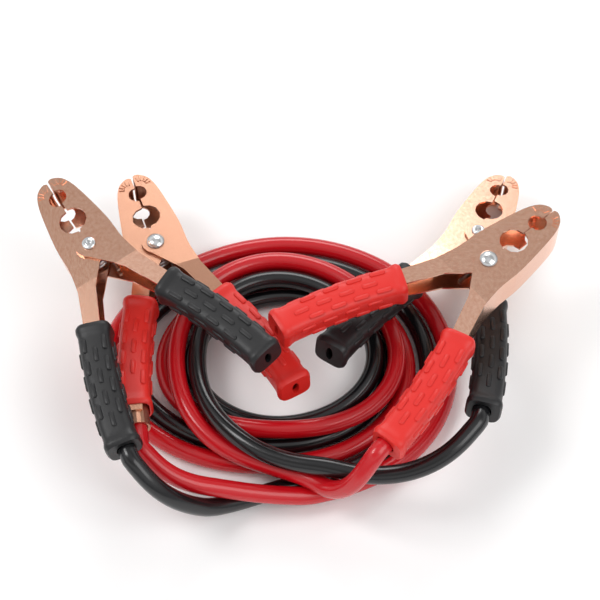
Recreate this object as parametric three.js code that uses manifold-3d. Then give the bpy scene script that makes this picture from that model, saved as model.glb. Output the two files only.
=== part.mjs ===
// A coiled pair of booster cables with four spring clamps, in millimetres, Z up.
import * as THREE from "three";
import { mergeVertices } from "three/addons/utils/BufferGeometryUtils.js";
import Module from "manifold-3d";

const wasm = await Module();
wasm.setup();

// Cables.
const cableDiameter = 9.5;
const strandGap = 1.1;
const settleSpacing = 6;
const settleRounds = 90;
const settleSmoothing = 0.12;
const heldPoints = 5;
const cableSteps = 108;
const coilCentre = [-10, 2];

// Clamp channels, the pivot at the origin, jaws toward +Y, the rivet along Z.
const steel = 1.2;
const clearance = 0.3;
const outerThickness = 20;
const handleThickness = 14;
const jawLength = 46;
const earRadius = 7.5;
const handleStart = [21.3, -38.5];
const handleBow = [35.4, -70.8];
const handleEnd = [41.8, -105.4];
const handleWidth = 8.5;

// Crimp barrel, grips, rivet and spring.
const barrelWall = 1.2;
const barrelLength = 15;
const barrelInset = 1;
const gripWidth = 19;
const gripDepth = 17.5;
const gripEndWall = 2.5;
const rivetRadius = 2.4;
const headRadius = 4.75;
const headHeight = 2.2;
const tailRadius = 3.6;
const springRadius = 6.6;
const springWire = 1.8;
const springTurns = 4;

// Brings the clamps' middle onto the origin.
const layoutShift = [1.5, -19.3, 0];

// Each clamp: pivot, turns in degrees about X, Y and Z, free side, outer half, head side, grip shift.
const clamps = [
  {
    name: "front_left", pivot: [-106.2, 41.4, 55], pitch: -2.5, roll: -9, heading: 31.8,
    free: 1, freeOutside: true, headUp: false, gripShift: 0,
  },
  {
    name: "rear_left", pivot: [-75.5, 57.7, 28.8], pitch: -5, roll: 0, heading: 18.8,
    free: 1, freeOutside: true, headUp: true, gripShift: 0.14,
  },
  {
    name: "front_right", pivot: [95.5, 30.1, 58], pitch: 0, roll: 1, heading: -49.7,
    free: -1, freeOutside: false, headUp: true, gripShift: 0,
  },
  {
    name: "rear_right", pivot: [94, 69.3, 18.82], pitch: -11.3, roll: 0, heading: -23.2,
    free: -1, freeOutside: false, headUp: false, gripShift: 0,
  },
];

function solidOf(geometry) {
  const bare = geometry.clone();
  bare.deleteAttribute("normal");
  bare.deleteAttribute("uv");
  const merged = mergeVertices(bare, 1e-5);
  return new wasm.Manifold(new wasm.Mesh({
    numProp: 3,
    vertProperties: new Float32Array(merged.attributes.position.array),
    triVerts: new Uint32Array(merged.index.array),
  }));
}

function meshOf(name, solid, colour) {
  const data = solid.getMesh();
  const geometry = new THREE.BufferGeometry();
  geometry.setAttribute("position", new THREE.BufferAttribute(new Float32Array(data.vertProperties), 3));
  geometry.setIndex(new THREE.BufferAttribute(new Uint32Array(data.triVerts), 1));
  geometry.computeVertexNormals();
  const mesh = new THREE.Mesh(geometry, new THREE.MeshStandardMaterial({ color: colour }));
  mesh.name = name;
  return mesh;
}

function prismAlongZ(outline, low, high) {
  const shape = new THREE.Shape(outline.map((p) => new THREE.Vector2(p[0], p[1])));
  const geometry = new THREE.ExtrudeGeometry(shape, { depth: high - low, bevelEnabled: false });
  geometry.translate(0, 0, low);
  return solidOf(geometry);
}

function prismAlongX(profile, low, high) {
  const shape = new THREE.Shape(profile.map((p) => new THREE.Vector2(p[0], p[1])));
  const geometry = new THREE.ExtrudeGeometry(shape, { depth: high - low, bevelEnabled: false });
  geometry.translate(0, 0, low);
  const turn = new THREE.Matrix4().makeBasis(
    new THREE.Vector3(0, 1, 0), new THREE.Vector3(0, 0, 1), new THREE.Vector3(1, 0, 0),
  );
  geometry.applyMatrix4(turn);
  return solidOf(geometry);
}

function cylinderAlong(from, to, radius, sides) {
  const start = new THREE.Vector3(...from);
  const along = new THREE.Vector3(...to).sub(start);
  const geometry = new THREE.CylinderGeometry(radius, radius, along.length(), sides);
  const up = new THREE.Vector3(0, 1, 0);
  const turn = new THREE.Quaternion().setFromUnitVectors(up, along.clone().normalize());
  geometry.applyQuaternion(turn);
  const middle = start.clone().addScaledVector(along, 0.5);
  geometry.translate(middle.x, middle.y, middle.z);
  return solidOf(geometry);
}

// Skins a closed solid over rings of points that all have the same count.
function loft(rings) {
  const count = rings[0].length;
  const positions = [];
  const index = [];
  for (const ring of rings) for (const p of ring) positions.push(p.x, p.y, p.z);
  for (let r = 0; r < rings.length - 1; r++)
    for (let i = 0; i < count; i++) {
      const a = r * count + i;
      const b = r * count + ((i + 1) % count);
      index.push(a, b, b + count, a, b + count, a + count);
    }
  for (const r of [0, rings.length - 1]) {
    const middle = positions.length / 3;
    const centre = new THREE.Vector3();
    for (const p of rings[r]) centre.addScaledVector(p, 1 / count);
    positions.push(centre.x, centre.y, centre.z);
    for (let i = 0; i < count; i++) {
      const a = r * count + i;
      const b = r * count + ((i + 1) % count);
      if (r === 0) index.push(b, a, middle);
      else index.push(a, b, middle);
    }
  }
  let volume = 0;
  const corner = (i) => new THREE.Vector3().fromArray(positions, 3 * i);
  for (let i = 0; i < index.length; i += 3)
    volume += corner(index[i]).dot(corner(index[i + 1]).cross(corner(index[i + 2])));
  if (volume < 0)
    for (let i = 0; i < index.length; i += 3) [index[i], index[i + 1]] = [index[i + 1], index[i]];
  return new wasm.Manifold(new wasm.Mesh({
    numProp: 3, vertProperties: new Float32Array(positions), triVerts: new Uint32Array(index),
  }));
}

// Rings of a round section carried along a line of points without twisting.
function tubeRings(points, radius, sides) {
  const rings = [];
  let across = null;
  for (let i = 0; i < points.length; i++) {
    const before = points[Math.max(i - 1, 0)];
    const after = points[Math.min(i + 1, points.length - 1)];
    const along = after.clone().sub(before).normalize();
    if (!across) across = new THREE.Vector3(0, 0, 1);
    if (i === 0 && Math.abs(along.z) > 0.9) across = new THREE.Vector3(1, 0, 0);
    across = across.clone().addScaledVector(along, -across.dot(along)).normalize();
    const other = along.clone().cross(across);
    const ring = [];
    for (let k = 0; k < sides; k++) {
      const angle = (2 * Math.PI * k) / sides;
      ring.push(points[i].clone().addScaledVector(across, radius * Math.cos(angle))
        .addScaledVector(other, radius * Math.sin(angle)));
    }
    rings.push(ring);
  }
  return rings;
}

// The handle's centreline in the clamp's plane, with its direction and its outward side.
function handleAt(t) {
  const p = [0, 1].map((k) => (1 - t) ** 2 * handleStart[k] + 2 * t * (1 - t) * handleBow[k] + t ** 2 * handleEnd[k]);
  const d = [0, 1].map((k) => (1 - t) * (handleBow[k] - handleStart[k]) + t * (handleEnd[k] - handleBow[k]));
  const length = Math.hypot(d[0], d[1]);
  const along = [d[0] / length, d[1] / length];
  return { p, along, out: [-along[1], along[0]] };
}

// Half thickness of a channel at a distance along the clamp.
function halfThickness(y, full) {
  const taperFrom = -18;
  const taperTo = -40;
  const share = Math.min(Math.max((y - taperFrom) / (taperTo - taperFrom), 0), 1);
  return full / 2 + (handleThickness / 2 - full / 2) * share;
}

function outerEdge() {
  const marks = [
    [0.5, 45.2], [2.4, jawLength], [5.6, 44.6], [8.5, 41.5], [11, 35], [13.5, 22],
    [15.5, 8], [15.8, 0], [16.2, -8], [18.5, -20],
  ];
  const curve = new THREE.SplineCurve(marks.map((p) => new THREE.Vector2(p[0], p[1])));
  const points = curve.getPoints(20).map((p) => [p.x, p.y]);
  for (const t of [0.02, 0.22, 0.42, 0.62, 0.84]) {
    const { p, out } = handleAt(t);
    points.push([p[0] + (out[0] * handleWidth) / 2, p[1] + (out[1] * handleWidth) / 2]);
  }
  return points;
}

function planOutline() {
  const points = outerEdge();
  for (const t of [0.84, 0.62, 0.42, 0.22, 0.02]) {
    const { p, out } = handleAt(t);
    points.push([p[0] - (out[0] * handleWidth) / 2, p[1] - (out[1] * handleWidth) / 2]);
  }
  points.push([9, -22]);
  for (let a = -122; a >= -260; a -= 19.7) {
    const angle = (a * Math.PI) / 180;
    points.push([earRadius * Math.cos(angle), earRadius * Math.sin(angle)]);
  }
  points.push([0.5, 9.8]);
  for (const [y, radius] of [[17.5, 7], [34, 4.5]])
    for (let k = 0; k <= 6; k++) {
      const angle = (-90 + 30 * k) * (Math.PI / 180);
      points.push([0.5 + radius * Math.cos(angle), y + radius * Math.sin(angle)]);
    }
  return points;
}

// Everything inside the outer edge less the steel, open toward the other half.
function cavityOutline() {
  const edge = outerEdge();
  const points = [];
  for (let i = 0; i < edge.length; i++) {
    const before = edge[Math.max(i - 1, 0)];
    const after = edge[Math.min(i + 1, edge.length - 1)];
    const length = Math.hypot(after[0] - before[0], after[1] - before[1]);
    const inward = [(after[1] - before[1]) / length, -(after[0] - before[0]) / length];
    points.push([edge[i][0] + inward[0] * steel, edge[i][1] + inward[1] * steel]);
  }
  const last = points[points.length - 1];
  const { along } = handleAt(0.84);
  points.push([last[0] + along[0] * 8, last[1] + along[1] * 8]);
  points.push([-60, last[1] - 20]);
  points.push([-60, points[0][1]]);
  return points;
}

function sideProfile(full, inset) {
  const levels = [60, -18, -40, -130];
  const top = levels.map((y) => [y, halfThickness(y, full) - inset]);
  const bottom = levels.map((y) => [y, -halfThickness(y, full) + inset]).reverse();
  return top.concat(bottom);
}

const mirrored = (outline, side) => outline.map((p) => [side * p[0], p[1]]);
const barrelRadius = cableDiameter / 2 + clearance + barrelWall;

// The barrel's axis: a point at the handle's end and the direction out of it.
function cableAxis(side) {
  const { p, along, out } = handleAt(1);
  const point = new THREE.Vector3(side * (p[0] - out[0] * barrelInset), p[1] - out[1] * barrelInset, 0);
  return { point, along: new THREE.Vector3(side * along[0], along[1], 0) };
}

function onCableAxis(side, distance) {
  const { point, along } = cableAxis(side);
  return point.clone().addScaledVector(along, distance);
}

function halfSolid(side, full, holdsCable) {
  let solid = prismAlongZ(mirrored(planOutline(), side), -outerThickness, outerThickness)
    .intersect(prismAlongX(sideProfile(full, 0), -90, 90));
  const cavity = prismAlongZ(mirrored(cavityOutline(), side), -outerThickness, outerThickness)
    .intersect(prismAlongX(sideProfile(full, steel), -90, 90));
  solid = solid.subtract(cavity);
  solid = solid.subtract(cylinderAlong([0, 0, -30], [0, 0, 30], rivetRadius + clearance, 16));
  if (holdsCable) {
    const from = onCableAxis(side, -gripEndWall - clearance - barrelLength - 1.5);
    const to = onCableAxis(side, -gripEndWall - clearance - 1.5);
    solid = solid.add(cylinderAlong(from.toArray(), to.toArray(), barrelRadius, 20));
    const deeper = onCableAxis(side, -gripEndWall - barrelLength - 4);
    const beyond = onCableAxis(side, 5);
    solid = solid.subtract(cylinderAlong(deeper.toArray(), beyond.toArray(), barrelRadius - barrelWall, 20));
  }
  return solid;
}

// A rounded rectangle section at one place on the handle, offset outward by a shift.
function gripRing(side, t, low, high, half, power, count) {
  const { p, out } = handleAt(t);
  const ring = [];
  for (let k = 0; k < count; k++) {
    const angle = (2 * Math.PI * (k + 0.5)) / count;
    const c = Math.cos(angle);
    const s = Math.sin(angle);
    const u = Math.sign(c) * Math.abs(c) ** power;
    const w = Math.sign(s) * Math.abs(s) ** power;
    const across = (low + high) / 2 + ((high - low) / 2) * u;
    ring.push(new THREE.Vector3(side * (p[0] + out[0] * across), p[1] + out[1] * across, half * w));
  }
  return ring;
}

function gripSolid(side, full, holdsCable, shift) {
  const steps = 5;
  const from = 0 - shift;
  const to = 1 - (holdsCable ? shift * 1.5 : 0);
  const outer = [];
  const inner = [];
  const openEnd = holdsCable && shift > 0;
  for (let i = 0; i <= steps; i++) {
    const t = from + ((to - from) * i) / steps;
    const steelHere = halfThickness(handleAt(t).p[1] + 3, full) + clearance;
    const half = Math.max(gripDepth / 2, steelHere + 1.3);
    const rounded = i === 0 || i === steps ? 0.92 : 1;
    outer.push(gripRing(side, t, (-gripWidth / 2) * rounded, (gripWidth / 2) * rounded, half * rounded, 0.4, 12));
  }
  const innerFrom = from - 0.03;
  const innerTo = openEnd ? to + 0.05 : to - 0.037;
  for (let i = 0; i <= steps; i++) {
    const t = innerFrom + ((innerTo - innerFrom) * i) / steps;
    const steelHere = halfThickness(handleAt(t).p[1] + 4, full) + clearance;
    const high = holdsCable ? 6.2 : handleWidth / 2 + clearance + 0.5;
    const low = holdsCable ? -7.7 : -high;
    const { p, out } = handleAt(t);
    const corners = [[high, 1], [low, 1], [low, -1], [high, -1]];
    inner.push(corners.map(([s, w]) => new THREE.Vector3(side * (p[0] + out[0] * s), p[1] + out[1] * s, steelHere * w)));
  }
  let solid = loft(outer).subtract(loft(inner));
  if (holdsCable && !openEnd) {
    const inside = onCableAxis(side, -8).toArray();
    const outside = onCableAxis(side, 8).toArray();
    solid = solid.subtract(cylinderAlong(inside, outside, cableDiameter / 2 + clearance * 1.6, 16));
  }
  if (!holdsCable) {
    const { p, along } = handleAt(1);
    const at = (d, s) => [side * (p[0] + along[0] * d), p[1] + along[1] * d, s];
    solid = solid.subtract(cylinderAlong(at(-6, -2.4), at(6, -2.4), 1.8, 10));
    solid = solid.subtract(cylinderAlong(at(-6, 2.4), at(6, 2.4), 1.8, 10));
    solid = solid.subtract(cylinderAlong(at(-6, 0), at(6, 0), 1.8, 10));
  }
  return solid;
}

function rivetSolid(headUp) {
  const face = outerThickness / 2 + clearance;
  const profile = [
    [0, face + headHeight], [2.2, face + headHeight * 0.88], [3.9, face + headHeight * 0.5],
    [headRadius, face], [rivetRadius, face], [rivetRadius, -face], [tailRadius, -face],
    [tailRadius, -face - 0.8], [2.8, -face - 1.2], [1.5, -face - 1.2], [1.2, -face + 0.6], [0, -face + 0.6],
  ];
  const points = profile.map((p) => new THREE.Vector2(p[0], p[1])).reverse();
  const geometry = new THREE.LatheGeometry(points, 14);
  geometry.rotateX(headUp ? Math.PI / 2 : -Math.PI / 2);
  return solidOf(geometry);
}

// The spring's coil turns round the rivet, and its legs run back along the two halves.
function springSolid(freeSide) {
  const reach = outerThickness / 2 - 2 * steel - 2 * clearance - springWire / 2;
  const points = [new THREE.Vector3(freeSide * 6.2, -13, -reach)];
  const count = (springTurns + 0.5) * 8;
  for (let i = 0; i <= count; i++) {
    const angle = (2 * Math.PI * i) / 8;
    const height = -reach + (2 * reach * i) / count;
    points.push(new THREE.Vector3(freeSide * springRadius * Math.cos(angle), springRadius * Math.sin(angle), height));
  }
  points.push(new THREE.Vector3(freeSide * -9.5, -12, reach));
  points.push(new THREE.Vector3(freeSide * -13.6, -20, reach * 0.9));
  return loft(tubeRings(points, springWire / 2, 5));
}

const part = new THREE.Group();
const ends = {};

for (const clamp of clamps) {
  const group = new THREE.Group();
  const radians = THREE.MathUtils.degToRad;
  group.position.set(...clamp.pivot);
  group.rotation.set(radians(clamp.pitch), radians(clamp.roll), radians(clamp.heading), "ZXY");
  const innerThickness = outerThickness - 2 * (steel + clearance);
  const freeFull = clamp.freeOutside ? outerThickness : innerThickness;
  const cableFull = clamp.freeOutside ? innerThickness : outerThickness;
  const gripColour = clamp.name === "rear_left" || clamp.name === "front_right" ? 0xd8261f : 0x202020;
  const add = (name, solid, colour) => group.add(meshOf(`${clamp.name}_${name}`, solid, colour));
  add("cable_half", halfSolid(-clamp.free, cableFull, true), 0xe8a98c);
  add("free_half", halfSolid(clamp.free, freeFull, false), 0xe8a98c);
  add("rivet", rivetSolid(clamp.headUp), 0xc8ccd0);
  add("spring", springSolid(clamp.free), 0xb8bcc0);
  add("cable_grip", gripSolid(-clamp.free, cableFull, true, clamp.gripShift), gripColour);
  add("free_grip", gripSolid(clamp.free, freeFull, false, 0), gripColour);
  group.updateMatrixWorld(true);
  const distances = [-gripEndWall - barrelLength, -8, 4, 13];
  ends[clamp.name] = distances.map((d) => onCableAxis(-clamp.free, d).applyMatrix4(group.matrixWorld));
  part.add(group);
}

// Coil stations a quarter turn apart, from the front, counter-clockwise: reach from the centre.
const redAcross = [92, 90.5, 93, 95.5, 76, 69.9, 68, 66, 65, 64.8, 61, 57, 57];
const redAlong = [78, 77, 76.5, 67, 58.5, 57, 55.9, 49, 43, 52, 62, 63, 63.7];
const blackAcross = [81.5, 80.2, 82.5, 84.5, 65.5, 59.6, 55, 51, 52.5, 54.5, 50, 46, 48];
const blackAlong = [68.9, 67, 66.2, 57, 48.2, 47, 45.6, 41, 37, 44, 51.7, 55, 66];

// Heights along the coil in quarter turns: floor layer, then upper layer.
const floorZ = cableDiameter / 2;
const upperZ = floorZ + cableDiameter + strandGap * 0.75;
const redHeights = [[0, 12], [0.6, floorZ], [7.45, floorZ], [7.75, upperZ], [12, upperZ]];
const blackHeights = [[0, floorZ], [8, floorZ], [8.75, upperZ], [11.3, upperZ], [11.75, 25.5], [12, 25.5]];

function between(stations, q) {
  let i = 0;
  while (i < stations.length - 2 && q > stations[i + 1][0]) i++;
  const [q0, v0] = stations[i];
  const [q1, v1] = stations[i + 1];
  const s = Math.min(Math.max((q - q0) / (q1 - q0), 0), 1);
  return v0 + (v1 - v0) * s * s * (3 - 2 * s);
}

function reachAt(reach, q) {
  const low = Math.min(Math.floor(q), reach.length - 2);
  return reach[low] + (reach[low + 1] - reach[low]) * (q - low);
}

function coilPoints(across, along, heights) {
  const points = [];
  for (let q = 0; q <= across.length - 1; q += 0.25) {
    const angle = ((q - 1) * Math.PI) / 2;
    const x = coilCentre[0] + reachAt(across, q) * Math.cos(angle);
    const y = coilCentre[1] + reachAt(along, q) * Math.sin(angle);
    points.push(new THREE.Vector3(x, y, between(heights, q)));
  }
  return points;
}

// Both cables as evenly spaced points, laid as planned and then settled: strands that
// press on each other move apart, and none goes below the floor.
function settle(lines) {
  const spaced = lines.map((points) => {
    const curve = new THREE.CatmullRomCurve3(points, false, "centripetal");
    return curve.getSpacedPoints(Math.round(curve.getLength() / settleSpacing));
  });
  const all = spaced.flatMap((points, line) => points.map((p, i) => ({
    p, line, i, held: i < heldPoints || i > points.length - 1 - heldPoints,
  })));
  for (let round = 0; round < settleRounds; round++) {
    const moves = all.map(() => new THREE.Vector3());
    for (let a = 0; a < all.length; a++)
      for (let b = a + 1; b < all.length; b++) {
        if (all[a].line === all[b].line && all[b].i - all[a].i < 8) continue;
        const apart = all[a].p.clone().sub(all[b].p);
        const distance = apart.length();
        if (distance > cableDiameter + strandGap) continue;
        apart.multiplyScalar((0.3 * (cableDiameter + strandGap - distance)) / distance);
        moves[a].add(apart);
        moves[b].sub(apart);
      }
    for (let a = 1; a < all.length - 1; a++) {
      if (all[a].held) continue;
      const middle = all[a - 1].p.clone().add(all[a + 1].p).multiplyScalar(0.5);
      moves[a].addScaledVector(middle.sub(all[a].p), settleSmoothing);
    }
    for (let a = 0; a < all.length; a++) {
      if (all[a].held) continue;
      all[a].p.add(moves[a]);
      all[a].p.z = Math.max(all[a].p.z, floorZ);
    }
  }
  return spaced;
}

function cableSolid(points) {
  const curve = new THREE.CatmullRomCurve3(points, false, "centripetal");
  return loft(tubeRings(curve.getSpacedPoints(cableSteps), cableDiameter / 2, 8));
}

const v = (x, y, z) => new THREE.Vector3(x, y, z);
const redLine = [
  ...ends.rear_left, v(-74, -74, 36), v(-62, -78, 28), v(-45, -77, 20), v(-28, -76.5, 15.5),
  ...coilPoints(redAcross, redAlong, redHeights),
  v(6, -66, 14.5), v(17, -78, 18.5), v(23, -86, 31), v(27, -87, 45), ...[...ends.front_right].reverse(),
];
const blackLine = [
  ...ends.front_left, v(-75, -89, 49), v(-60, -89, 30), v(-45, -84, 12), v(-28, -74.5, floorZ),
  ...coilPoints(blackAcross, blackAlong, blackHeights),
  v(14, -69.5, 27.5), v(38, -75, 27.5), v(60, -72, 29), v(79, -65, 38), ...[...ends.rear_right].reverse(),
];
const settled = settle([redLine, blackLine]);
part.add(meshOf("red_cable", cableSolid(settled[0]), 0xd01020));
part.add(meshOf("black_cable", cableSolid(settled[1]), 0x151515));

part.position.set(...layoutShift);

export default part;
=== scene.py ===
import bpy
import math
import numpy as np
from mathutils import Matrix, Vector


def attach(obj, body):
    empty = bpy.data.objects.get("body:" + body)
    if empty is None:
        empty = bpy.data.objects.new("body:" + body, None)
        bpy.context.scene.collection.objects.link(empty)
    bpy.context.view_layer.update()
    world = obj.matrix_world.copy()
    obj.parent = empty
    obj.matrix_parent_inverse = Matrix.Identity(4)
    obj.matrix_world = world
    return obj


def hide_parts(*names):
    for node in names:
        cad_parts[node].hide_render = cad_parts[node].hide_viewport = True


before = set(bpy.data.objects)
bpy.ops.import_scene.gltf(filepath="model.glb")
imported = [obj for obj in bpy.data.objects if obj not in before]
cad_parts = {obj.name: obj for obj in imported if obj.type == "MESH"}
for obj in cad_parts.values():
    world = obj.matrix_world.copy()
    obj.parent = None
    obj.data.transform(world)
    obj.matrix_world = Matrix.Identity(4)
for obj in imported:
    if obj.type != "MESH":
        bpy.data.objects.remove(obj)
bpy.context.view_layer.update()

# Camera
# The photograph looks down at about 60 degrees through a long lens, square frame.
aim = Vector((0.0015, 0.0172, 0.015))
camera_elevation = math.radians(60)
camera_distance = 1.15
camera_data = bpy.data.cameras.new("camera")
camera_data.sensor_width = 36
camera_data.lens = 130.4
camera = bpy.data.objects.new("camera", camera_data)
look = Vector((0, math.cos(camera_elevation), -math.sin(camera_elevation)))
camera.location = aim - look * camera_distance
camera.rotation_euler = (math.radians(90) - camera_elevation, 0, 0)
bpy.context.collection.objects.link(camera)
bpy.context.scene.camera = camera

# Clamp sizes and places
# Lengths are in millimetres, and points become metres as each piece is built. The four clamps are
# alike. Each has its rivet at the pivot and its turns about x, y and z in degrees. It also has the side
# of its free half, whether that half lies outside the other, whether the rivet's head is on top, and
# the share of a handle by which its cable grip is slid up.
layout_shift = np.array([1.5, -19.3, 0])
outer_half_depth = 10
inner_half_depth = 8.5
sheet = 1.2
play = 0.3
handle = np.array([(21.3, -38.5), (35.4, -70.8), (41.8, -105.4)])
handle_length = 70
clamps = {
    "front_left": dict(
        pivot=(-106.2, 41.4, 55), turn=(-2.5, -9, 31.8), free=1, free_outside=True, head_up=False,
        shift=0, colour="black",
    ),
    "rear_left": dict(
        pivot=(-75.5, 57.7, 28.8), turn=(-5, 0, 18.8), free=1, free_outside=True, head_up=True,
        shift=0.14, colour="red",
    ),
    "front_right": dict(
        pivot=(95.5, 30.1, 58), turn=(0, 1, -49.7), free=-1, free_outside=False, head_up=True,
        shift=0, colour="red",
    ),
    "rear_right": dict(
        pivot=(94, 69.3, 18.82), turn=(-11.3, 0, -23.2), free=-1, free_outside=False, head_up=False,
        shift=0, colour="black",
    ),
}


def clamp_matrix(clamp):
    about_x, about_y, about_z = [math.radians(a) for a in clamp["turn"]]
    spin = Matrix.Rotation(about_z, 4, "Z") @ Matrix.Rotation(about_x, 4, "X")
    spin = spin @ Matrix.Rotation(about_y, 4, "Y")
    return Matrix.Translation(Vector(clamp["pivot"])) @ spin


def clamp_place(clamp):
    return Matrix.Translation(Vector(layout_shift)) @ clamp_matrix(clamp)


def half_side(clamp, holds_cable):
    """The side, 1 or -1, on which a half's handle lies."""
    return -clamp["free"] if holds_cable else clamp["free"]


def half_depth(clamp, holds_cable):
    """Half of the jaw's depth. One half of each clamp lies outside the other."""
    return outer_half_depth if clamp["free_outside"] != holds_cable else inner_half_depth


def handle_at(t):
    """A point on the handle's middle line, its direction, and the direction to the outer edge."""
    p = (1 - t) ** 2 * handle[0] + 2 * t * (1 - t) * handle[1] + t ** 2 * handle[2]
    d = (1 - t) * (handle[1] - handle[0]) + t * (handle[2] - handle[1])
    d = d / np.linalg.norm(d)
    return p, d, np.array([-d[1], d[0]])


# Shared ways of making looks and shapes
# Every material starts from one main shader, and those of the object take their grain from noise.
def new_material(name):
    material = bpy.data.materials.new(name)
    material.use_nodes = True
    tree = material.node_tree
    return material, tree.nodes, tree.links, tree.nodes["Principled BSDF"]


def add_noise(nodes, scale, detail=2):
    noise = nodes.new("ShaderNodeTexNoise")
    noise.inputs["Scale"].default_value = scale
    noise.inputs["Detail"].default_value = detail
    return noise


def add_bump(nodes, links, noise, shader, strength, distance):
    bump = nodes.new("ShaderNodeBump")
    bump.inputs["Strength"].default_value = strength
    bump.inputs["Distance"].default_value = distance
    links.new(noise.outputs["Fac"], bump.inputs["Height"])
    links.new(bump.outputs["Normal"], shader.inputs["Normal"])


def round_wire(name, points, diameter, resolution):
    """A round wire with closed ends, along points in metres."""
    curve = bpy.data.curves.new(name, "CURVE")
    curve.dimensions = "3D"
    curve.bevel_depth = diameter / 2000
    curve.bevel_resolution = resolution
    curve.use_fill_caps = True
    spline = curve.splines.new("POLY")
    spline.points.add(len(points) - 1)
    for target, p in zip(spline.points, points):
        target.co = (*p, 1)
    spline.use_smooth = True
    wire = bpy.data.objects.new(name, curve)
    bpy.context.collection.objects.link(wire)
    return wire


def mesh_piece(name, verts, faces, material):
    mesh = bpy.data.meshes.new(name)
    mesh.from_pydata(verts, [], faces)
    mesh.materials.append(material)
    piece = bpy.data.objects.new(name, mesh)
    bpy.context.collection.objects.link(piece)
    return piece


def join_rings(first, sides, flip):
    """Faces from the ring of points that starts at first to the ring after it."""
    faces = []
    for k in range(sides):
        a = first + k
        b = first + (k + 1) % sides
        faces.append((a, a + sides, b + sides, b) if flip else (a, b, b + sides, a + sides))
    return faces


# Cables
# Each cable is stranded copper in a round glossy PVC sheath, one red and one black. It is crimped into
# the barrels of two clamps, and both lie coiled together on the floor, some turns on top of others.
cable_diameter = 9.5
strand_gap = 1.1
floor_z = cable_diameter / 2
stacked_gap = strand_gap * 0.75
upper_z = floor_z + cable_diameter + stacked_gap
barrel_inset = 1
barrel_length = 15
grip_end_wall = 2.5
# Along the handle's direction, from its end: the cable starts inside the barrel and leaves straight.
end_reaches = (-grip_end_wall - barrel_length, -8, 4, 13)
# The coil's reach across x and along y at each quarter turn, and its height at some turns.
coil_centre = (-10, 2)
points_per_quarter = 4
red_across = [92, 90.5, 93, 95.5, 76, 69.9, 68, 66, 65, 64.8, 61, 57, 57]
red_along = [78, 77, 76.5, 67, 58.5, 57, 55.9, 49, 43, 52, 62, 63, 63.7]
red_heights = [(0, 12), (0.6, floor_z), (7.45, floor_z), (7.75, upper_z), (12, upper_z)]
black_across = [81.5, 80.2, 82.5, 84.5, 65.5, 59.6, 55, 51, 52.5, 54.5, 50, 46, 48]
black_along = [68.9, 67, 66.2, 57, 48.2, 47, 45.6, 41, 37, 44, 51.7, 55, 66]
black_heights = [(0, floor_z), (8, floor_z), (8.75, upper_z), (11.3, upper_z), (11.75, 25.5), (12, 25.5)]
# The leads carry each cable from its first clamp into the coil and out of it to its second clamp.
red_lead_in = [(-74, -74, 36), (-62, -78, 28), (-45, -77, 20), (-28, -76.5, 15.5)]
red_lead_out = [(6, -66, 14.5), (17, -78, 18.5), (23, -86, 31), (27, -87, 45)]
black_lead_in = [(-75, -89, 49), (-60, -89, 30), (-45, -84, 12), (-28, -74.5, floor_z)]
black_lead_out = [(14, -69.5, 27.5), (38, -75, 27.5), (60, -72, 29), (79, -65, 38)]
samples_per_span = 16
settle_spacing = 6
settle_rounds = 90
settle_push = 0.3
settle_smoothing = 0.12
neighbour_points = 8
held_points = 5
drawn_spacing = 3


def cable_end(name):
    clamp = clamps[name]
    side = half_side(clamp, True)
    p, d, out = handle_at(1)
    points = []
    for reach in end_reaches:
        q = p - out * barrel_inset + d * reach
        points.append(tuple(clamp_matrix(clamp) @ Vector((side * q[0], q[1], 0))))
    return points


def height_at(heights, q):
    """The height at quarter turn q, eased from one stated height to the next."""
    i = 0
    while i < len(heights) - 2 and q > heights[i + 1][0]:
        i += 1
    (q0, v0), (q1, v1) = heights[i], heights[i + 1]
    s = min(max((q - q0) / (q1 - q0), 0), 1)
    return v0 + (v1 - v0) * s * s * (3 - 2 * s)


def coil_points(across, along, heights):
    points = []
    for k in range(points_per_quarter * (len(across) - 1) + 1):
        q = k / points_per_quarter
        angle = (q - 1) * math.pi / 2
        x = coil_centre[0] + np.interp(q, range(len(across)), across) * math.cos(angle)
        y = coil_centre[1] + np.interp(q, range(len(along)), along) * math.sin(angle)
        points.append((x, y, height_at(heights, q)))
    return points


def through(points, spacing):
    """Evenly spaced points on a centripetal Catmull-Rom line through the given ones, and its length."""
    p = [np.array(a, dtype=float) for a in points]
    p = [2 * p[0] - p[1]] + p + [2 * p[-1] - p[-2]]
    dense = []
    for i in range(1, len(p) - 2):
        a, b, c, d = p[i - 1:i + 3]
        t0 = 0.0
        t1 = t0 + np.linalg.norm(b - a) ** 0.5
        t2 = t1 + np.linalg.norm(c - b) ** 0.5
        t3 = t2 + np.linalg.norm(d - c) ** 0.5
        for t in np.linspace(t1, t2, samples_per_span, endpoint=False):
            a1 = (t1 - t) / (t1 - t0) * a + (t - t0) / (t1 - t0) * b
            a2 = (t2 - t) / (t2 - t1) * b + (t - t1) / (t2 - t1) * c
            a3 = (t3 - t) / (t3 - t2) * c + (t - t2) / (t3 - t2) * d
            b1 = (t2 - t) / (t2 - t0) * a1 + (t - t0) / (t2 - t0) * a2
            b2 = (t3 - t) / (t3 - t1) * a2 + (t - t1) / (t3 - t1) * a3
            dense.append((t2 - t) / (t2 - t1) * b1 + (t - t1) / (t2 - t1) * b2)
    dense.append(p[-2])
    dense = np.array(dense)
    run = np.concatenate([[0], np.cumsum(np.linalg.norm(np.diff(dense, axis=0), axis=1))])
    count = round(run[-1] / spacing)
    marks = np.linspace(0, run[-1], count + 1)
    return np.array([[np.interp(m, run, dense[:, k]) for k in range(3)] for m in marks]), run[-1]


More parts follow.
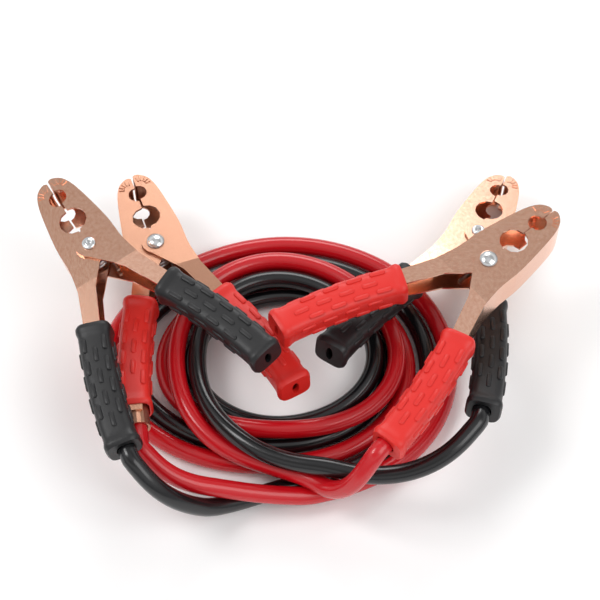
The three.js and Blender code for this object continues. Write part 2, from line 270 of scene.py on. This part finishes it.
def settle(lines):
    """Strands that press on each other move apart, and none goes below the floor."""
    points = np.concatenate(lines)
    line = np.concatenate([np.full(len(part), k) for k, part in enumerate(lines)])
    order = np.concatenate([np.arange(len(part)) for part in lines])
    last = np.concatenate([np.full(len(part), len(part) - 1) for part in lines])
    held = (order < held_points) | (order > last - held_points)
    same_line = line[:, None] == line[None, :]
    near = same_line & (abs(order[:, None] - order[None, :]) < neighbour_points)
    limit = cable_diameter + strand_gap
    for _ in range(settle_rounds):
        apart = points[:, None, :] - points[None, :, :]
        distance = np.linalg.norm(apart, axis=2)
        push = settle_push * (limit - distance) / np.maximum(distance, 1e-6)
        press = np.where(near | (distance > limit), 0, push)
        moves = (apart * press[:, :, None]).sum(axis=1)
        moves[1:-1] += ((points[:-2] + points[2:]) / 2 - points[1:-1]) * settle_smoothing
        moves[held] = 0
        points = points + moves
        points[~held, 2] = np.maximum(points[~held, 2], floor_z)
    return points[line == 0], points[line == 1]


red_plan = cable_end("rear_left") + red_lead_in
red_plan += coil_points(red_across, red_along, red_heights)
red_plan += red_lead_out + cable_end("front_right")[::-1]
black_plan = cable_end("front_left") + black_lead_in
black_plan += coil_points(black_across, black_along, black_heights)
black_plan += black_lead_out + cable_end("rear_right")[::-1]
settled = settle([through(red_plan, settle_spacing)[0], through(black_plan, settle_spacing)[0]])
for name, points, colour, start in (
    ("red_cable", settled[0], (0.55, 0.004, 0.01, 1), "rear_left"),
    ("black_cable", settled[1], (0.005, 0.005, 0.006, 1), "front_left"),
):
    fine, real_length = through([tuple(p) for p in points], drawn_spacing)
    cable = round_wire(name + "_sheath", (fine + layout_shift) / 1000, cable_diameter, resolution=6)
    sheath, nodes, links, shader = new_material(name + "_pvc")
    shader.inputs["Base Color"].default_value = colour
    shader.inputs["Roughness"].default_value = 0.24
    shader.inputs["Coat Weight"].default_value = 0.2
    shader.inputs["Coat Roughness"].default_value = 0.12
    grain = add_noise(nodes, 240)
    add_bump(nodes, links, grain, shader, strength=0.06, distance=0.0004)
    cable.data.materials.append(sheath)
    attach(cable, "coil_and_cable_halves")
    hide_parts(name)

# Clamp halves
# Each half is stamped and bent from steel sheet, copper plated and polished, jaw and handle in one
# piece. The photo shows the rear left clamp's plate browner and finer in grain, so it has a look of
# its own. The halves turn about the rivet.
edge_rounding = 0.25
plate_edge_angle = 40
polished_look = dict(
    roughness=0.22, grain=60, bump=0.04, dark=(0.84, 0.46, 0.32, 1), light=(0.93, 0.58, 0.43, 1),
)
brown_look = dict(
    roughness=0.34, grain=900, bump=0.12, dark=(0.42, 0.2, 0.12, 1), light=(0.72, 0.4, 0.28, 1),
)
for name in clamps:
    finish = brown_look if name == "rear_left" else polished_look
    for half in ("cable_half", "free_half"):
        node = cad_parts[f"{name}_{half}"]
        plate, nodes, links, shader = new_material(f"{name}_{half}_plate")
        shader.inputs["Metallic"].default_value = 1
        shader.inputs["Roughness"].default_value = finish["roughness"]
        grain = add_noise(nodes, finish["grain"], detail=5)
        tint = nodes.new("ShaderNodeValToRGB")
        tint.color_ramp.elements[0].position = 0.3
        tint.color_ramp.elements[1].position = 0.7
        tint.color_ramp.elements[0].color = finish["dark"]
        tint.color_ramp.elements[1].color = finish["light"]
        links.new(grain.outputs["Fac"], tint.inputs["Fac"])
        links.new(tint.outputs["Color"], shader.inputs["Base Color"])
        add_bump(nodes, links, grain, shader, strength=finish["bump"], distance=0.0003)
        node.data.materials.clear()
        node.data.materials.append(plate)
        soft = node.modifiers.new("edge", "BEVEL")
        soft.width = edge_rounding / 1000
        soft.segments = 2
        soft.limit_method = "ANGLE"
        soft.angle_limit = math.radians(plate_edge_angle)
        soft.harden_normals = False

# Jaw teeth
# The jaws' noses are pressed with short radial ribs that bite a battery post, part of the copper-plated
# sheet. They are on both faces of each half, but for the rear right clamp, whose lower face is too
# close to the floor for them. The slopes are how far a rib's ends and sides lean in.
nose_centre = (3.2, 38.6)
rib_angles = (104, 80, 56, 32, 8)
rib_middle = 4.1
rib_length = 3.4
rib_width = 1.0
rib_sink = 0.3
rib_rise = 0.45
rib_end_slope = 0.3
rib_side_slope = 0.18
for name, clamp in clamps.items():
    place = clamp_place(clamp)
    for half in ("cable_half", "free_half"):
        holds_cable = half == "cable_half"
        side = half_side(clamp, holds_cable)
        face_height = half_depth(clamp, holds_cable)
        verts = []
        faces = []
        for face in ((1,) if name == "rear_right" else (1, -1)):
            for degrees in rib_angles:
                angle = math.radians(degrees)
                out = (math.cos(angle), math.sin(angle))
                base = len(verts)
                for rise, slope in ((-rib_sink, 0), (rib_rise, 1)):
                    for u, w in ((-1, -1), (1, -1), (1, 1), (-1, 1)):
                        r = rib_middle + u * (rib_length / 2 - slope * rib_end_slope)
                        q = w * (rib_width / 2 - slope * rib_side_slope)
                        x = nose_centre[0] + out[0] * r - out[1] * q
                        y = nose_centre[1] + out[1] * r + out[0] * q
                        verts.append(place @ Vector((side * x, y, face * (face_height + rise))) / 1000)
                faces += join_rings(base, 4, False)
                faces.append((base + 4, base + 5, base + 6, base + 7))
        plate = bpy.data.materials[f"{name}_{half}_plate"]
        teeth = mesh_piece(f"{name}_{half}_teeth", verts, faces, plate)
        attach(teeth, "coil_and_cable_halves" if holds_cable else name + "_free")

# Rivets
# Each clamp turns on one nickel-plated steel rivet, a domed head on one face of the clamp and a
# hollow rolled tail on the other. It was upset in place and stays still in the cable half.
rivet_face = 10.3
rivet_shank = 2.4
rivet_sides = 40
rivet_edge_angle = 50
weld_distance = 0.01
rivet_head = [(0, 2.2), (1.2, 2.12), (2.4, 1.85), (3.5, 1.35), (4.3, 0.7), (4.7, 0.2), (4.75, 0)]
rivet_tail = [(0, -0.6), (1.2, -0.6), (1.4, 0.9), (1.8, 1.15), (2.6, 1.2), (3.3, 0.95), (3.6, 0.4), (3.6, 0)]
nickel, nodes, links, shader = new_material("nickel")
shader.inputs["Metallic"].default_value = 1
shader.inputs["Base Color"].default_value = (0.72, 0.73, 0.74, 1)
scratches = add_noise(nodes, 500)
spread = nodes.new("ShaderNodeMapRange")
spread.inputs["To Min"].default_value = 0.16
spread.inputs["To Max"].default_value = 0.32
links.new(scratches.outputs["Fac"], spread.inputs["Value"])
links.new(spread.outputs["Result"], shader.inputs["Roughness"])
for name, clamp in clamps.items():
    place = clamp_place(clamp)
    up = 1 if clamp["head_up"] else -1
    profile = [(r, up * (rivet_face + z)) for r, z in rivet_head]
    profile += [(rivet_shank, up * rivet_face), (rivet_shank, -up * rivet_face)]
    profile += [(r, -up * (rivet_face + z)) for r, z in reversed(rivet_tail)]
    verts = []
    faces = []
    for r, z in profile:
        for k in range(rivet_sides):
            angle = 2 * math.pi * k / rivet_sides
            verts.append(place @ Vector((r * math.cos(angle), r * math.sin(angle), z)) / 1000)
    for i in range(len(profile) - 1):
        faces += join_rings(i * rivet_sides, rivet_sides, up > 0)
    rivet = mesh_piece(name + "_rivet_turned", verts, faces, nickel)
    rivet.data.shade_smooth()
    weld = rivet.modifiers.new("weld", "WELD")
    weld.merge_threshold = weld_distance / 1000
    crisp = rivet.modifiers.new("crisp", "EDGE_SPLIT")
    crisp.split_angle = math.radians(rivet_edge_angle)
    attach(rivet, "coil_and_cable_halves")
    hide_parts(name + "_rivet")

# Springs
# Each clamp has one torsion spring of plated steel wire. Its coil turns round the rivet between the
# side plates, and its two legs press the halves' webs apart.
spring_wire = 1.8
spring_radius = 6.6
spring_turns = 4.5
spring_steps = 32
spring_reach = outer_half_depth - 2 * sheet - 2 * play - spring_wire / 2
# The near leg is one point. The far leg's two points also have their share of the spring's reach.
spring_near_leg = (6.2, -13)
spring_far_leg = ((-9.5, -12, 1), (-13.6, -20, 0.9))
wire, nodes, links, shader = new_material("spring_wire")
shader.inputs["Metallic"].default_value = 1
shader.inputs["Roughness"].default_value = 0.3
mottle = add_noise(nodes, 700)
shades = nodes.new("ShaderNodeValToRGB")
shades.color_ramp.elements[0].color = (0.5, 0.5, 0.51, 1)
shades.color_ramp.elements[1].color = (0.74, 0.74, 0.75, 1)
links.new(mottle.outputs["Fac"], shades.inputs["Fac"])
links.new(shades.outputs["Color"], shader.inputs["Base Color"])
for name, clamp in clamps.items():
    place = clamp_place(clamp)
    free = clamp["free"]
    points = [(free * spring_near_leg[0], spring_near_leg[1], -spring_reach)]
    for k in range(int(spring_turns * spring_steps) + 1):
        angle = 2 * math.pi * k / spring_steps
        height = -spring_reach + 2 * spring_reach * k / (spring_turns * spring_steps)
        points.append((free * spring_radius * math.cos(angle), spring_radius * math.sin(angle), height))
    for x, y, share in spring_far_leg:
        points.append((free * x, y, spring_reach * share))
    metres = [place @ Vector(p) / 1000 for p in points]
    spring = round_wire(name + "_spring_coil", metres, spring_wire, resolution=3)
    spring.data.materials.append(wire)
    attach(spring, "coil_and_cable_halves")
    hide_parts(name + "_spring")

# Grips
# Each handle has a dipped-look sleeve of soft PVC pushed over the channel, with a raised collar at
# both ends and staggered raised dashes for grip. The cable leaves through the end of one, and the
# other is closed but for an oval slot. The rear left cable grip is slid up, and its end is open.
grip_width = 19
grip_depth = 17.5
grip_wall = 1.6
handle_thickness = 14
# A handle thins from the jaw's depth to its own over this stretch of y, and the sleeve follows late.
taper_start = -18
taper_run = 22
taper_lag = 3
corner_power = 0.5
# The sleeve is a little slimmer than the CAD grip, so that no two grips touch when the clamps open.
sleeve_slim = 0.75
sleeve_edge_angle = 55
sleeve_dip = 0.3
sleeve_sides = 48
sleeve_steps = 44
collar_length = 5
collar_rise = 0.5
collar_step = 0.8
end_rounding = 0.9
# A grip that is slid up ends this many times the slide short of its handle, so the barrel shows.
slide_trim = 1.5
# Insets of the rings that close the ends, from the CAD grip's outline.
mouth_insets = (2.2, 1.9)
closed_end_insets = (2.2, 4.0)
open_end_insets = (1.9, 2.0)
open_end_share = 0.1
cable_hole = (5.3, 5.3)
oval_slot = (1.9, 4.3)
dash_length = 8.5
dash_width = 2.8
dash_sides = 12
dash_gap = 4
dash_stagger = 6
dash_from_collar = 3
dash_to_collar = 2
broad_rows = (-5.2, 0, 5.2)
narrow_rows = (-3.2, 3.2)
# Each dash's level against the CAD grip's outline and its inset, from inside the sleeve to the top.
dash_levels = ((-1.3, 0), (-0.65, 0.15), (-0.45, 0.55))


def half_thickness(y, depth):
    share = min(max((y - taper_start) / -taper_run, 0), 1)
    return depth + (handle_thickness / 2 - depth) * share


def sleeve_height(p, depth):
    return max(grip_depth / 2, half_thickness(p[1] + taper_lag, depth) + grip_wall)


def sleeve_point(side, t, angle, grow, depth):
    p, d, out = handle_at(t)
    c, s = math.cos(angle), math.sin(angle)
    across = (grip_width / 2 + grow) * math.copysign(abs(c) ** corner_power, c)
    up = (sleeve_height(p, depth) + grow) * math.copysign(abs(s) ** corner_power, s)
    return Vector((side * (p[0] + out[0] * across), p[1] + out[1] * across, up))


def dash_point(side, face, row, t_from, middle, angle, level, inset, depth):
    """A point of a raised dash. Faces 0 and 2 are the broad ones, 1 and 3 the narrow ones."""
    along = math.cos(angle) * (dash_width / 2 - inset)
    along += math.copysign((dash_length - dash_width) / 2, math.cos(angle))
    over = row + math.sin(angle) * (dash_width / 2 - inset)
    p, d, out = handle_at(t_from + (middle + along) / handle_length)
    deep = sleeve_height(p, depth) + level
    wide = grip_width / 2 + level
    u, w = ((over, deep), (wide, over), (over, -deep), (-wide, over))[face]
    return Vector((side * (p[0] + out[0] * u), p[1] + out[1] * u, w))


grip_materials = {}
for colour, base in (("red", (0.7, 0.018, 0.012, 1)), ("black", (0.008, 0.008, 0.009, 1))):
    grip_pvc, nodes, links, shader = new_material(colour + "_grip_pvc")
    shader.inputs["Base Color"].default_value = base
    shader.inputs["Roughness"].default_value = 0.42
    grain = add_noise(nodes, 900, detail=3)
    add_bump(nodes, links, grain, shader, strength=0.12, distance=0.0002)
    grip_materials[colour] = grip_pvc

for name, clamp in clamps.items():
    place = clamp_place(clamp)
    for kind in ("cable_grip", "free_grip"):
        holds_cable = kind == "cable_grip"
        side = half_side(clamp, holds_cable)
        depth = half_depth(clamp, holds_cable)
        shift = clamp["shift"] if holds_cable else 0
        t_from, t_to = -shift, 1 - slide_trim * shift
        span = handle_length * (t_to - t_from)
        rings = [(t_from, -inset) for inset in mouth_insets]
        for i in range(sleeve_steps + 1):
            share = i / sleeve_steps
            from_end = min(share, 1 - share) * span
            collar = collar_rise if from_end < collar_length else -sleeve_dip
            if abs(from_end - collar_length) < collar_step:
                collar = 0
            edge = -end_rounding if i in (0, sleeve_steps) else 0
            rings.append((t_from + (t_to - t_from) * share, collar + edge - sleeve_slim))
        if shift > 0:
            rings.append((t_to, -open_end_insets[0]))
            rings.append((t_to - open_end_share, -open_end_insets[1]))
        else:
            rings += [(t_to, -inset) for inset in closed_end_insets]
        verts = []
        faces = []
        for t, grow in rings:
            for k in range(sleeve_sides):
                angle = 2 * math.pi * k / sleeve_sides
                verts.append(place @ sleeve_point(side, t, angle, grow, depth) / 1000)
        for i in range(len(rings) - 1):
            faces += join_rings(i * sleeve_sides, sleeve_sides, side < 0)
        if shift == 0:
            # The end wall closes in to the cable or to the oval slot.
            p, d, out = handle_at(1)
            centre = p - out * barrel_inset if holds_cable else p
            wide, deep = cable_hole if holds_cable else oval_slot
            base = len(verts)
            for reach in (0, -grip_end_wall):
                for k in range(sleeve_sides):
                    angle = 2 * math.pi * k / sleeve_sides
                    q = centre + out * wide * math.cos(angle) + d * reach
                    verts.append(place @ Vector((side * q[0], q[1], deep * math.sin(angle))) / 1000)
            for first in (base - sleeve_sides, base):
                faces += join_rings(first, sleeve_sides, side < 0)
        # Raised dashes in staggered rows on the two broad faces and along the sides.
        for face in range(4):
            for r, row in enumerate(broad_rows if face % 2 == 0 else narrow_rows):
                start = collar_length + dash_from_collar + (dash_stagger if r % 2 else 0)
                while start + dash_length < span - collar_length - dash_to_collar:
                    middle = start + dash_length / 2
                    base = len(verts)
                    for level, inset in dash_levels:
                        for k in range(dash_sides):
                            angle = 2 * math.pi * k / dash_sides
                            point = dash_point(side, face, row, t_from, middle, angle, level, inset, depth)
                            verts.append(place @ point / 1000)
                    for lift in range(len(dash_levels) - 1):
                        faces += join_rings(base + lift * dash_sides, dash_sides, False)
                    faces.append(tuple(range(len(verts) - dash_sides, len(verts))))
                    start += dash_length + dash_gap
        sleeve = mesh_piece(f"{name}_{kind}_sleeve", verts, faces, grip_materials[clamp["colour"]])
        sleeve.data.shade_smooth()
        crisp = sleeve.modifiers.new("crisp", "EDGE_SPLIT")
        crisp.split_angle = math.radians(sleeve_edge_angle)
        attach(sleeve, "coil_and_cable_halves" if holds_cable else name + "_free")
        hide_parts(f"{name}_{kind}")

# Floor and light
# A plain white sweep and soft studio light from above, as in a product photograph.
bpy.ops.mesh.primitive_plane_add(size=6, location=(0, 0, 0))
floor = bpy.context.object
floor.name = "floor"
paper, nodes, links, shader = new_material("floor_paper")
shader.inputs["Base Color"].default_value = (0.98, 0.98, 0.98, 1)
shader.inputs["Roughness"].default_value = 0.9
floor.data.materials.append(paper)
world = bpy.data.worlds.new("studio")
world.use_nodes = True
nodes = world.node_tree.nodes
links = world.node_tree.links
direction = nodes.new("ShaderNodeTexCoord")
split = nodes.new("ShaderNodeSeparateXYZ")
room = nodes.new("ShaderNodeValToRGB")
room.color_ramp.elements[0].position = 0.0
room.color_ramp.elements[0].color = (0.3, 0.3, 0.31, 1)
room.color_ramp.elements[1].position = 1.0
room.color_ramp.elements[1].color = (0.75, 0.75, 0.76, 1)
band = room.color_ramp.elements.new(0.55)
band.color = (1.0, 1.0, 1.0, 1)
dark = room.color_ramp.elements.new(0.8)
dark.color = (0.32, 0.31, 0.3, 1)
links.new(direction.outputs["Generated"], split.inputs["Vector"])
links.new(split.outputs["Z"], room.inputs["Fac"])
links.new(room.outputs["Color"], nodes["Background"].inputs["Color"])
nodes["Background"].inputs["Strength"].default_value = 1.0
bpy.context.scene.world = world
# Each lamp's place, power in watts and size, in metres.
lamps = (((-0.9, 0.1, 1.2), 6, 0.5), ((0.8, -0.5, 1.2), 7, 0.9), ((0, 1.2, 0.9), 5, 0.6))
for spot, power, size in lamps:
    lamp_data = bpy.data.lights.new("softbox", "AREA")
    lamp_data.energy = power
    lamp_data.size = size
    lamp = bpy.data.objects.new("softbox", lamp_data)
    lamp.location = spot
    lamp.rotation_euler = (-Vector(spot)).to_track_quat("-Z", "Y").to_euler()
    bpy.context.collection.objects.link(lamp)
bpy.context.scene.view_settings.view_transform = "Standard"
